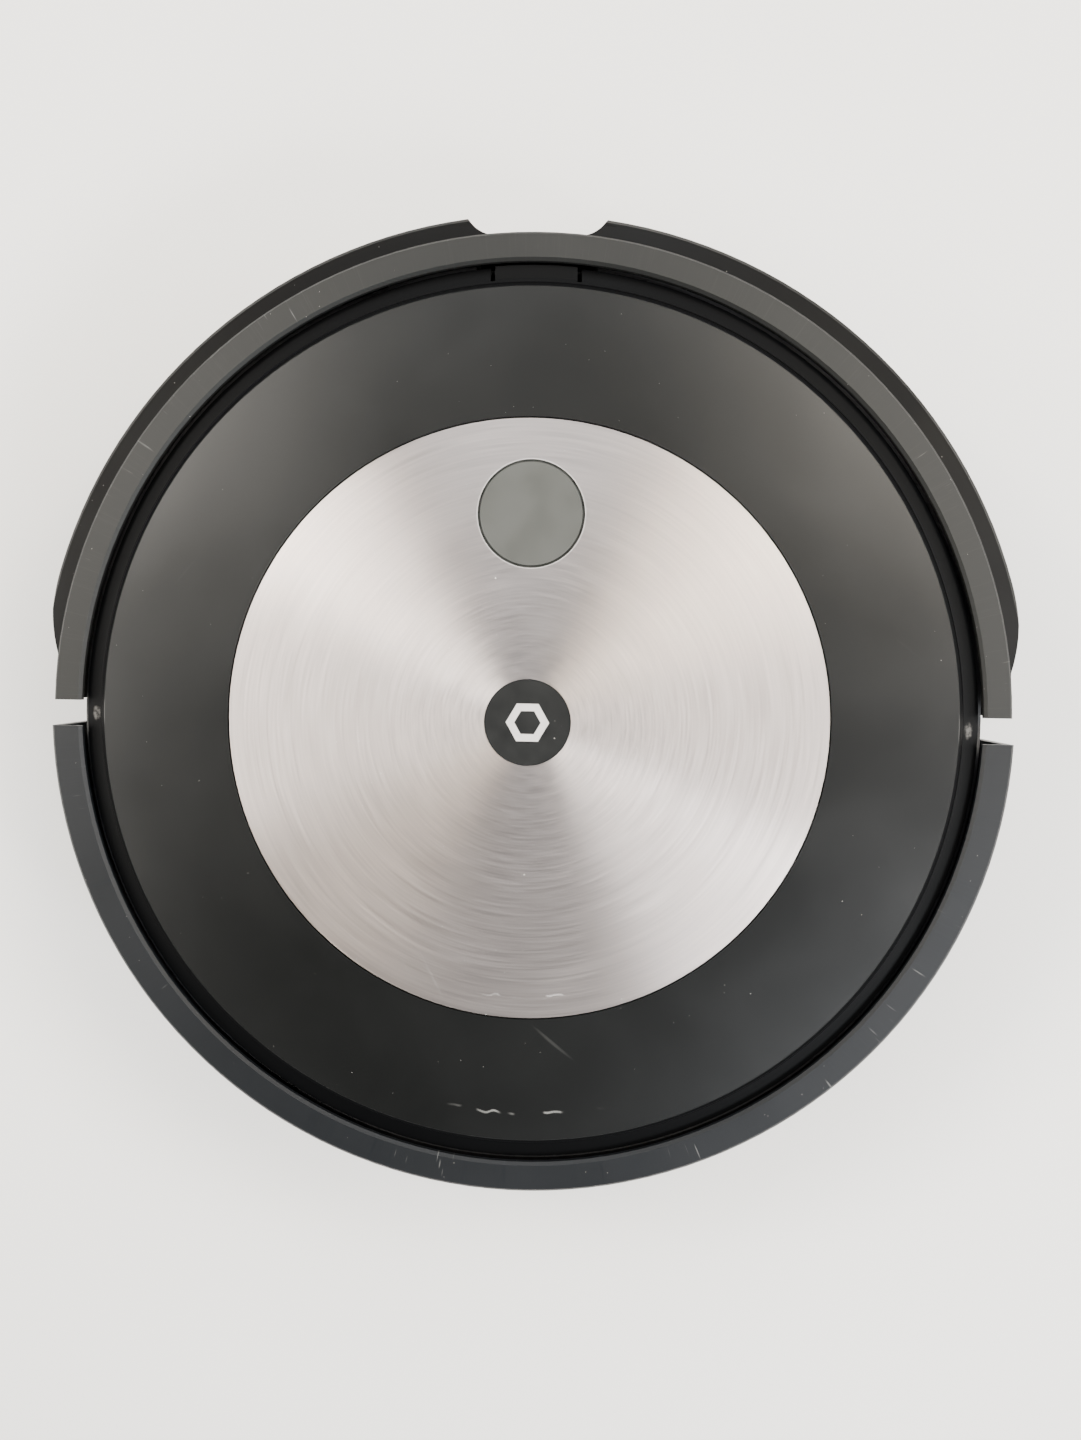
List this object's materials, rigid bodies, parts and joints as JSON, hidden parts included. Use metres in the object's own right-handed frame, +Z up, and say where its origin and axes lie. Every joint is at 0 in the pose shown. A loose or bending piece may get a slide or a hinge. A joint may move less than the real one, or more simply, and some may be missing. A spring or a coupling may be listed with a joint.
{
  "type": "robot vacuum",
  "caption": "Round robot vacuum: sprung front bumper, dropping drive wheels, caster, side brush, geared rollers and pull-out bin.",
  "frame": {"origin": "on the floor, under the centre of the round body", "axes": "+Z up, -Y forwards (the bumper side), +X the robot's left side"},
  "size_m": [0.3372, 0.3405, 0.087],
  "materials": {
    "base_plastic": "fine-grained black moulding",
    "inner_plastic": "plain dark moulding",
    "shell_grey": "matt dark grey, finely textured",
    "skirt_black": "smooth satin black",
    "satin_black": "satin black, lightly scratched",
    "brushed_metal": "circular brushed, warm silver",
    "cap_charcoal": "smooth charcoal",
    "button_grey": "smooth mid grey",
    "light_guide": "dark translucent ring",
    "circuit_board": "green lacquer",
    "battery_case": "plain grey",
    "contact_metal": "polished",
    "dark_window": "polished smoked plastic",
    "screw_steel": "zinc plated",
    "shaft_steel": "ground",
    "spring_steel": "drawn wire",
    "motor_metal": "plated can",
    "hub_grey": "satin moulding",
    "tyre_rubber": "treaded rubber",
    "caster_plastic": "smooth black",
    "bristle": "nylon bristle",
    "core_plastic": "pale grey moulding",
    "roller_rubber": "matt grey-green rubber",
    "gear_plastic": "natural acetal",
    "frame_grey": "matt dark grey",
    "tab_yellow": "yellow moulding",
    "bin_smoke": "smoked plastic",
    "filter_media": "pleated paper",
    "flap_rubber": "soft black"
  },
  "bodies": {
    "base": {"chassis": "base_plastic", "top_deck": "inner_plastic", "rear_shell": "shell_grey", "bottom_cover": "base_plastic", "case_screws": "screw_steel", "top_cover": "satin_black", "cover_disc": "brushed_metal", "centre_cap": "cap_charcoal", "light_ring": "light_guide", "button_board": "circuit_board", "main_board": "circuit_board", "battery_pack": "battery_case", "charging_contacts": "contact_metal", "cliff_windows": "dark_window", "camera_module": "inner_plastic", "bump_switches": "inner_plastic", "return_springs": "spring_steel", "caster_socket": "base_plastic", "side_brush_motor": "motor_metal", "wheel_housing_left": "inner_plastic", "wheel_housing_right": "inner_plastic", "cleaning_head": "base_plastic", "brush_motor": "motor_metal", "roller_bearings": "motor_metal", "fan_case": "inner_plastic", "fan_motor": "motor_metal"},
    "bumper": {"bumper_ring": "shell_grey", "bumper_skirt": "skirt_black", "bumper_window": "dark_window", "camera_window": "dark_window"},
    "clean_button": {"clean_button": "button_grey"},
    "left_suspension": {"wheel_arm_left": "inner_plastic", "wheel_motor_left": "motor_metal", "wheel_pins_left": "shaft_steel"},
    "left_wheel": {"wheel_hub_left": "hub_grey", "wheel_tyre_left": "tyre_rubber"},
    "right_suspension": {"wheel_arm_right": "inner_plastic", "wheel_motor_right": "motor_metal", "wheel_pins_right": "shaft_steel"},
    "right_wheel": {"wheel_hub_right": "hub_grey", "wheel_tyre_right": "tyre_rubber"},
    "caster_fork": {"caster_fork": "base_plastic", "caster_axle": "shaft_steel"},
    "caster_wheel": {"caster_wheel": "caster_plastic"},
    "side_brush": {"side_brush_hub": "base_plastic", "side_brush_bristles": "bristle"},
    "front_roller": {"front_roller_core": "core_plastic", "front_roller_rubber": "roller_rubber"},
    "rear_roller": {"rear_roller_core": "core_plastic", "rear_roller_rubber": "roller_rubber"},
    "idler_front": {"idler_front": "gear_plastic"},
    "idler_rear": {"idler_rear": "gear_plastic"},
    "brush_frame": {"brush_frame": "frame_grey"},
    "frame_tab": {"frame_tab": "tab_yellow"},
    "dust_bin": {"bin_body": "bin_smoke", "bin_door": "base_plastic", "bin_filter": "filter_media"},
    "bin_release": {"bin_release": "button_grey"},
    "evac_flap": {"evac_flap": "flap_rubber"},
    "fan_rotor": {"fan_impeller": "gear_plastic"}
  },
  "joints": [
    {"name": "bumper_press", "type": "slide", "parent": "base", "child": "bumper", "axis": [0, 1, 0], "range_m": [0, 0.004], "stiffness_N_per_m": 300, "springref_m": -0.002, "deforming": ["return_springs"]},
    {"name": "clean_button_press", "type": "slide", "parent": "base", "child": "clean_button", "axis": [0, 0, -1], "range_m": [0, 0.0008], "stiffness_N_per_m": 800, "springref_m": -0.0006},
    {"name": "left_wheel_drop", "type": "hinge", "parent": "base", "child": "left_suspension", "pos_m": [0.1025, -0.042, 0.046], "axis": [-1, 0, 0], "range_deg": [0, 25], "stiffness_Nm_per_rad": 0.25, "springref_deg": 57.3, "deforming": ["return_springs"]},
    {"name": "left_wheel_spin", "type": "hinge", "parent": "left_suspension", "child": "left_wheel", "pos_m": [0.1175, 0, 0.036], "axis": [1, 0, 0], "continuous": true},
    {"name": "right_wheel_drop", "type": "hinge", "parent": "base", "child": "right_suspension", "pos_m": [-0.1025, -0.042, 0.046], "axis": [-1, 0, 0], "range_deg": [0, 25], "stiffness_Nm_per_rad": 0.25, "springref_deg": 57.3, "deforming": ["return_springs"]},
    {"name": "right_wheel_spin", "type": "hinge", "parent": "right_suspension", "child": "right_wheel", "pos_m": [-0.1175, 0, 0.036], "axis": [1, 0, 0], "continuous": true},
    {"name": "caster_swivel", "type": "hinge", "parent": "base", "child": "caster_fork", "pos_m": [0, -0.126, 0.032], "axis": [0, 0, 1], "continuous": true},
    {"name": "caster_roll", "type": "hinge", "parent": "caster_fork", "child": "caster_wheel", "pos_m": [0, -0.1195, 0.013], "axis": [1, 0, 0], "continuous": true},
    {"name": "side_brush_spin", "type": "hinge", "parent": "base", "child": "side_brush", "pos_m": [-0.092, -0.1, 0.009], "axis": [0, 0, 1], "continuous": true},
    {"name": "front_roller_spin", "type": "hinge", "parent": "base", "child": "front_roller", "pos_m": [0, 0.0239, 0.0215], "axis": [1, 0, 0], "continuous": true},
    {"name": "idler_front_spin", "type": "hinge", "parent": "base", "child": "idler_front", "pos_m": [-0.079, 0.03683, 0.0215], "axis": [1, 0, 0], "continuous": true},
    {"name": "idler_rear_spin", "type": "hinge", "parent": "base", "child": "idler_rear", "pos_m": [-0.079, 0.04977, 0.0215], "axis": [1, 0, 0], "continuous": true},
    {"name": "rear_roller_spin", "type": "hinge", "parent": "base", "child": "rear_roller", "pos_m": [0, 0.0627, 0.0215], "axis": [1, 0, 0], "continuous": true},
    {"name": "brush_frame_open", "type": "hinge", "parent": "base", "child": "brush_frame", "pos_m": [0, 0.0053, 0.0101], "axis": [-1, 0, 0], "range_deg": [0, 100]},
    {"name": "frame_tab_press", "type": "slide", "parent": "brush_frame", "child": "frame_tab", "axis": [0, -1, 0], "range_m": [0, 0.002], "stiffness_N_per_m": 200, "springref_m": -0.001},
    {"name": "bin_slide", "type": "slide", "parent": "base", "child": "dust_bin", "axis": [0, 1, 0], "range_m": [0, 0.1]},
    {"name": "bin_release_press", "type": "slide", "parent": "dust_bin", "child": "bin_release", "axis": [0, -1, 0], "range_m": [0, 0.0025], "stiffness_N_per_m": 300, "springref_m": -0.001},
    {"name": "evac_flap_swing", "type": "hinge", "parent": "dust_bin", "child": "evac_flap", "pos_m": [0.028, 0.118, 0.0165], "axis": [-1, 0, 0], "range_deg": [0, 70]},
    {"name": "fan_spin", "type": "hinge", "parent": "base", "child": "fan_rotor", "pos_m": [0.094, 0.09854, 0.046], "axis": [1, 0, 0], "continuous": true}
  ],
  "couplings": [
    {"joint": "idler_front_spin", "follows": "front_roller_spin", "ratio": -1},
    {"joint": "idler_rear_spin", "follows": "front_roller_spin", "ratio": 1},
    {"joint": "rear_roller_spin", "follows": "front_roller_spin", "ratio": -1}
  ]
}
